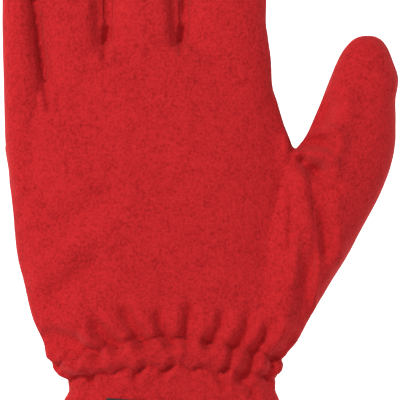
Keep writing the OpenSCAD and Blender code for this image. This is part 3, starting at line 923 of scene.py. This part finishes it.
def stitched_frame(tree, middle, size, inset, rise, side, tilt=0.0, radius=0.2):
    line = frame_line(middle, size, inset, tilt)
    y = dropped(tree, line[:, 0], line[:, 1], side)
    y = np.convolve(np.pad(y, 3, mode="wrap"), np.ones(7) / 7, mode="valid")
    points = np.column_stack([line[:, 0], y + side * rise, line[:, 1]])
    return dashes(points, np.tile([0, side, 0], (len(points), 1)), 1.6, 0.8, radius, 0.1)


label_middle = (LABEL_LEFT + LABEL_SIZE[0] / 2, LABEL_TOP + LABEL_RISE - LABEL_SIZE[1] / 2)
label = piece("cuff_label_cloth", *laid_sheet(skin_tree, label_middle, LABEL_SIZE, 0.6, -1, LABEL_TILT))
dressed(label, LABEL_BLACK, ["cuff_label"], "glove")
label_stitches = piece("cuff_label_stitches",
                       *stitched_frame(skin_tree, label_middle, LABEL_SIZE, 1.0, 0.6, -1, LABEL_TILT))
dressed(label_stitches, THREAD_BLACK, ["cuff_label_stitching"], "glove")

# The loop patch lies where the stowed hood's hook patch comes to rest.
patch_rest = stowed(np.array([PATCH_AT[0], HOOD_OUT, PATCH_AT[1]]))
LOOP_SIZE = (PATCH_SIZE[0] + 2 * LOOP_MARGIN, PATCH_SIZE[1] + 2 * LOOP_MARGIN)
loop_middle, loop_tilt = (patch_rest[0], patch_rest[2]), 2 * HINGE_SLANT
loop_sheet = laid_sheet(skin_tree, loop_middle, LOOP_SIZE, 0.75, 1, loop_tilt, smooth=14)


def pile(tree, middle, size, side, rise, tilt, pitch, make):
    """Many small hooks or loops standing on a patch."""
    rng = np.random.default_rng(4)
    nx, nz = int((size[0] - 2) / pitch), int((size[1] - 2) / pitch)
    u, v = np.meshgrid((np.arange(nx) - (nx - 1) / 2) * pitch, (np.arange(nz) - (nz - 1) / 2) * pitch,
                       indexing="ij")
    u, v = u + rng.uniform(-0.2, 0.2, u.shape), v + rng.uniform(-0.2, 0.2, v.shape)
    x, z = turned(middle, tilt, u, v)
    y = dropped(tree, x, z, side, 4) + side * rise
    return merged(*[make(np.array([x[i], y[i], z[i]]), side, rng.uniform(0, math.pi))
                    for i in np.ndindex(x.shape)])


def bent_wire(root, side, turn, height, span, radius, share):
    """A wire arch from root: a whole loop at share 1, a hook that stops short below it."""
    t = np.linspace(0, math.pi * share, 7)
    along = np.array([math.cos(turn), 0, math.sin(turn)])
    path = (root + (span / 2 * (1 - np.cos(t)))[:, None] * along
            + (height * np.sin(t))[:, None] * np.array([0, side, 0]))
    normals = np.cross(np.gradient(path, axis=0), np.cross(along, [0, side, 0]))
    normals /= np.linalg.norm(normals, axis=1)[:, None]
    across = np.cross(along, [0, side, 0])
    verts, faces = [], []
    for p, n in zip(path, normals):
        verts += [p + radius * (math.cos(a) * across + math.sin(a) * n)
                  for a in (0, math.pi / 2, math.pi, 1.5 * math.pi)]
    for k in range(len(path) - 1):
        for a in range(4):
            b = (a + 1) % 4
            faces.append((k * 4 + a, k * 4 + b, k * 4 + 4 + b, k * 4 + 4 + a))
    return np.array(verts), faces + [(3, 2, 1, 0), tuple(len(verts) - 4 + a for a in range(4))]


loops = pile(skin_tree, loop_middle, LOOP_SIZE, 1, 0.55, loop_tilt, 1.25,
             lambda root, side, turn: bent_wire(root, side, turn * 2, 0.55, 0.9, 0.11, 1.0))
loop_uv = np.vstack([loop_sheet[2], np.zeros((len(loops[0]), 2))])
dressed(piece("loop_patch_pile", *merged(loop_sheet[:2], loops), uv=loop_uv),
        LOOP_RED, ["loop_patch"], "glove")
dressed(piece("loop_patch_stitches",
              *stitched_frame(skin_tree, loop_middle, LOOP_SIZE, 0.9, 0.72, 1, loop_tilt)),
        THREAD_RED, ["loop_patch_stitching"], "glove")


# ---------------------------------------------------------------- the hood, made as it lies over the fingers
POCKET = np.array([(118, 8.0), (150, 7.6), (162, 6.9), (180, 4.3), (200, 0.4), (216, -2.2),
                   (228, -2.7), (238, -1.5), (246, 1.8), (254, 8.2)])


def hood_solid():
    rings, turn = [], turns(120)
    for z in np.append(np.arange(118, 252, 1.5), (252.2, 253.2, 253.8)):
        rise = max(0.0, (z - HOOD_SHOULDER) / (HOOD_TIP - HOOD_SHOULDER))
        reach = HOOD_HALF - HOOD_WAIST * min(1.4, max(0, (HOOD_MOUTH - z) / 10.5))
        half = reach * (1 - rise ** 2.5) ** 0.4
        across = np.sign(np.cos(turn)) * abs(np.cos(turn)) ** 0.5 * half
        r = np.minimum(1, (abs(across) / reach) ** 2.5 + rise ** 2.5) ** 0.4
        crown = (1 - r ** 5) ** 0.2
        front = curve_through(POCKET[:, 0], POCKET[:, 1], np.array([z]))[0] - HOOD_FLEECE - HOOD_SPLIT
        y = HOOD_SPLIT + crown * np.where(np.sin(turn) > 0, HOOD_OUT - HOOD_SPLIT, front)
        rings.append(np.column_stack([HOOD_X + across, y, np.full(len(turn), z)]))
    return stacked(rings)


hood, hood_quads = remeshed([hood_solid()], HOOD_VOXEL)
hood = relaxed(hood, hood_quads, 5)
hood_n = normals_of(hood, hood_quads)
hood_out = 0.45 * cloud(hood, 26, 11) + 0.25 * cloud(hood, 9, 12) + 0.4 * smoothstep(0.2, 0.7, -hood_n[:, 1])
hood_out -= 0.75 * (1 + 0.3 * cloud(hood, 4, 13)) * np.exp(-((hood[:, 1] - HOOD_SPLIT) / 1.25) ** 2)
above_tape = hood[:, 2] - (HOOD_MOUTH + TAPE_HEIGHT + 0.5)
hood_out -= 0.25 * np.exp(-above_tape ** 2) * smoothstep(0.2, 0.7, -hood_n[:, 1])
hood = hood + hood_n * hood_out[:, None]

slant = math.tan(HINGE_SLANT)
seam_foot = HINGE[2] + 1.2
hood_cutter = Cutter(hood, hood_quads)
hood_split_points = hood_cutter.cut((0, HOOD_SPLIT, 0), (0, 1, 0), lambda c: abs(c.y - HOOD_SPLIT) < 4)
hood_cutter.cut((0, 0, HOOD_MOUTH), (0, 0, 1), lambda c: abs(c.z - HOOD_MOUTH) < 4)
hood_cutter.cut((HINGE[0], 0, seam_foot), HINGE_UP, lambda c: c.z < 160)
wedge_point, wedge_normal = Vector((0, HOOD_SPLIT, HOOD_MOUTH + 0.5)), Vector((0, -11.5, -4.2)).normalized()
hood_cutter.cut(wedge_point, wedge_normal, lambda c: c.z < 168 and c.y > HOOD_SPLIT - 1)
for v in {v for v in hood_split_points if v.is_valid}:
    v.co -= v.normal * HOOD_SEAM_SINK
hood_co, hood_normals, hood_faces = hood_cutter.arrays()
hood_parts = {"hood_palm_panel": [], "hood_back_panel": []}
for centre, corners in hood_faces:
    if centre.y < HOOD_SPLIT:
        if centre.z > HOOD_MOUTH:
            hood_parts["hood_palm_panel"].append(corners)
    elif centre.z > seam_foot + slant * (centre.x - HINGE[0]) and (centre - wedge_point).dot(wedge_normal) < 0:
        hood_parts["hood_back_panel"].append(corners)


def hooded(obj, material, node):
    """A hood piece, dressed in its finish, with its placement baked into its points."""
    dressed(obj, material, [node])
    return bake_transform(obj)


for name, faces in hood_parts.items():
    verts, shell_faces = shell(hood_co, hood_normals, faces, HOOD_FLEECE)
    panel = piece(name + "_fleece", stowed(verts), shell_faces)
    hooded(panel, FLEECE_RED, name)
hood_tree = bvh(hood_co, [f for _, f in hood_faces])

# Tape over the hem of the palm layer, from side seam to side seam.
hem_x = HOOD_X + (HOOD_HALF - 2.2) * np.sin(np.linspace(-0.5, 0.5, 90) * math.pi)
hem_profile = tape_profile(TAPE_HEIGHT, HOOD_FLEECE)
hem_corners = []
hem_run = np.append(0, np.cumsum(np.abs(np.diff(hem_x))))
hem_wave = 0.1 * np.sin(hem_run / 8.3) + 0.07 * np.sin(hem_run / 3.1 + 1)
for offset, h in hem_profile:
    z = HOOD_MOUTH - h
    column = []
    for x, wave in zip(hem_x, hem_wave):
        hit, normal, _, _ = hood_tree.ray_cast(Vector((x, -60, max(z, HOOD_MOUTH + 0.6))), Vector((0, 1, 0)))
        normal = normal if normal.y < 0 else -normal
        normal.z = 0
        normal.normalize()
        place = np.array(hit) + np.array(normal) * (offset + (wave if offset > 0.2 else 0))
        column.append((place[0], place[1], z))
    hem_corners.append(column)
hem_corners = np.stack([np.array(c) for c in hem_corners], axis=1)
hem_verts, hem_faces, hem_uv = swept(hem_corners, False, hem_run)
stitch_line = hem_corners[:, 2] + np.array([0, -0.05, -0.7])
hem_stitches = dashes(stitch_line, np.tile([0, -1, 0], (len(stitch_line), 1)), 2.0, 0.9, 0.24, 0.12,
                      closed=False)
hem_mesh = merged((hem_verts, hem_faces), hem_stitches)
hem_uv = np.vstack([hem_uv, np.zeros((len(hem_stitches[0]), 2))])
hooded(piece("hood_hem_tape", stowed(hem_mesh[0]), hem_mesh[1], uv=hem_uv), TAPE_RED,
       "hood_hem_binding")

# The hook patch on the hood's back layer.
hook_sheet = laid_sheet(hood_tree, PATCH_AT, PATCH_SIZE, 0.5, 1, sink=0.2)
hooks = pile(hood_tree, PATCH_AT, PATCH_SIZE, 1, 0.4, 0.0, 1.1,
             lambda root, side, turn: bent_wire(root, side, 0.2 * turn, 0.45, 0.6, 0.1, 0.72))
hook_verts, hook_faces = merged(hook_sheet[:2], hooks)
hook = piece("hook_patch_strip", stowed(hook_verts), hook_faces)
dressed(hook, HOOK_BLACK, ["hook_patch"], "hood")
hook_stitch_verts, hook_stitch_faces = stitched_frame(hood_tree, PATCH_AT, PATCH_SIZE, 0.8, 0.5, 1)
dressed(piece("hook_patch_stitches", stowed(hook_stitch_verts), hook_stitch_faces), THREAD_BLACK,
        ["hook_patch_stitching"], "hood")

# The knuckle seam: the hood's cloth rises out of the glove's back and folds over to hang down.
seam_path = np.array([(-5.6, -1.6), (-4.2, -0.3), (-2.7, 1.1), (-1.1, 2.0), (0.6, 2.1), (1.9, 1.3),
                      (2.55, 0.0), (2.6, -1.3), (2.6, -2.4)])
fine_t = np.linspace(0, len(seam_path) - 1, 25)
whole_t = np.arange(len(seam_path), dtype=float)
seam_path = np.column_stack([curve_through(whole_t, seam_path[:, k], fine_t) for k in (0, 1)])
tangent = np.gradient(seam_path, axis=0)
tangent /= np.linalg.norm(tangent, axis=1)[:, None]
normal = np.column_stack([-tangent[:, 1], tangent[:, 0]])
half_thick = HOOD_FLEECE / 2 * np.ones(len(seam_path))
half_thick[0], half_thick[-1] = 0.7, 0.9
outline = np.vstack([seam_path + normal * half_thick[:, None],
                     (seam_path - normal * half_thick[:, None])[::-1]])
seam_half = HOOD_HALF - HOOD_WAIST
seam_run = np.linspace(-seam_half, seam_half, 110)
taper = (1 - np.abs(seam_run / seam_half) ** 60) ** 0.5
seam_profiles = []
for s, t in zip(seam_run, taper):
    wobble = 0.2 * noise.noise(Vector((s / 7, 0, 3)))
    origin = HINGE + s * HINGE_AXIS
    shrunk = seam_path[12] + (outline - seam_path[12]) * (0.75 + 0.25 * t)
    seam_profiles.append(origin + (shrunk[:, :1] + wobble) * np.array([0, 1, 0]) + shrunk[:, 1:] * HINGE_UP)
strip = piece("knuckle_seam_fleece", *swept(np.array(seam_profiles), False, seam_run + seam_half))
dressed(strip, FLEECE_RED, ["knuckle_seam_strip"])
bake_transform(strip)


# ---------------------------------------------------------------- studio, light and camera
def studio():
    """A round pale floor that curves up into a wall all round. It glows with painted light, faint in front and
    brightest behind the palm's view.
    """
    profile = [(0.02, 0.0), (0.4, 0.0), (1.0, 0.0), (1.7, 0.0), (2.2, 0.0)]
    profile += [(2.2 + 0.8 * math.sin(a), 0.8 - 0.8 * math.cos(a)) for a in np.linspace(0.15, math.pi / 2, 12)]
    profile += [(3.0, 1.4), (3.0, 2.2)]
    sides = 72
    verts = [(r * math.cos(a), r * math.sin(a), z) for r, z in profile for a in turns(sides)]
    faces = []
    for k in range(len(profile) - 1):
        low, high = k * sides, (k + 1) * sides
        faces += [(low + i, high + i, high + (i + 1) % sides, low + (i + 1) % sides) for i in range(sides)]
    mesh = bpy.data.meshes.new("studio_sweep")
    mesh.from_pydata(verts, [], faces + [tuple(range(sides))])
    mesh.shade_smooth()
    sweep = bpy.data.objects.new("studio_sweep", mesh)
    bpy.context.scene.collection.objects.link(sweep)
    white = Finish("studio_white", 0.9, specular=0.1)
    white.colour(white.noise(0.4, 1), [(0.3, (0.68, 0.68, 0.68, 1)), (0.7, (0.7, 0.7, 0.7, 1))])
    # Painted glow: the sweep's own emission stands in for light on the backdrop. It rises along y from 0.12 in
    # front to 1.0 behind.
    split = white.add("ShaderNodeSeparateXYZ")
    white.link(white.coordinates.outputs["Object"], split.inputs[0])
    glow = white.add("ShaderNodeMapRange", interpolation_type="SMOOTHSTEP")
    for socket, value in (("From Min", -0.1), ("From Max", 0.35), ("To Min", 0.12), ("To Max", 1.0)):
        glow.inputs[socket].default_value = value
    white.link(split.outputs["Y"], glow.inputs["Value"])
    white.shader.inputs["Emission Color"].default_value = (1, 1, 1, 1)
    white.link(glow.outputs[0], white.shader.inputs["Emission Strength"])
    mesh.materials.append(white.material)


def soft_light(name, place, aim, size, watts):
    light = bpy.data.lights.new(name, "AREA")
    light.shape, light.size, light.energy = "DISK", size, watts
    lamp = bpy.data.objects.new(name, light)
    lamp.location = place
    lamp.rotation_euler = (Vector(aim) - Vector(place)).to_track_quat("-Z", "Y").to_euler()
    bpy.context.scene.collection.objects.link(lamp)


studio()
middle = to_row([0, 0, 110])
soft_light("key", (-0.85, -1.1, 0.95), middle, 0.4, 16.8)
soft_light("back_left", (-0.8, 0.9, 0.8), middle, 0.6, 3)
soft_light("back_right", (1.0, 0.6, 0.5), middle, 0.6, 2.5)

scene = bpy.context.scene
scene.world = bpy.data.worlds.new("studio_air")
scene.world.use_nodes = True
scene.world.node_tree.nodes["Background"].inputs["Color"].default_value = (1, 1, 1, 1)
scene.world.node_tree.nodes["Background"].inputs["Strength"].default_value = 0.2
scene.view_settings.view_transform = "Standard"

FIELD_WIDTH = 0.152      # what the photo's frame spans at the hand's middle plane
CAMERA_DISTANCE = 0.6
camera = bpy.data.objects.new("camera", bpy.data.cameras.new("camera"))
camera.data.sensor_width = 36
camera.data.lens = 36 * CAMERA_DISTANCE / FIELD_WIDTH
camera.location = to_row([0, 0, 110.2]) - np.array([0, CAMERA_DISTANCE, 0])
camera.rotation_euler = (math.pi / 2, 0, 0)
camera.data.clip_start, camera.data.clip_end = 0.02, 20
scene.collection.objects.link(camera)
scene.camera = camera
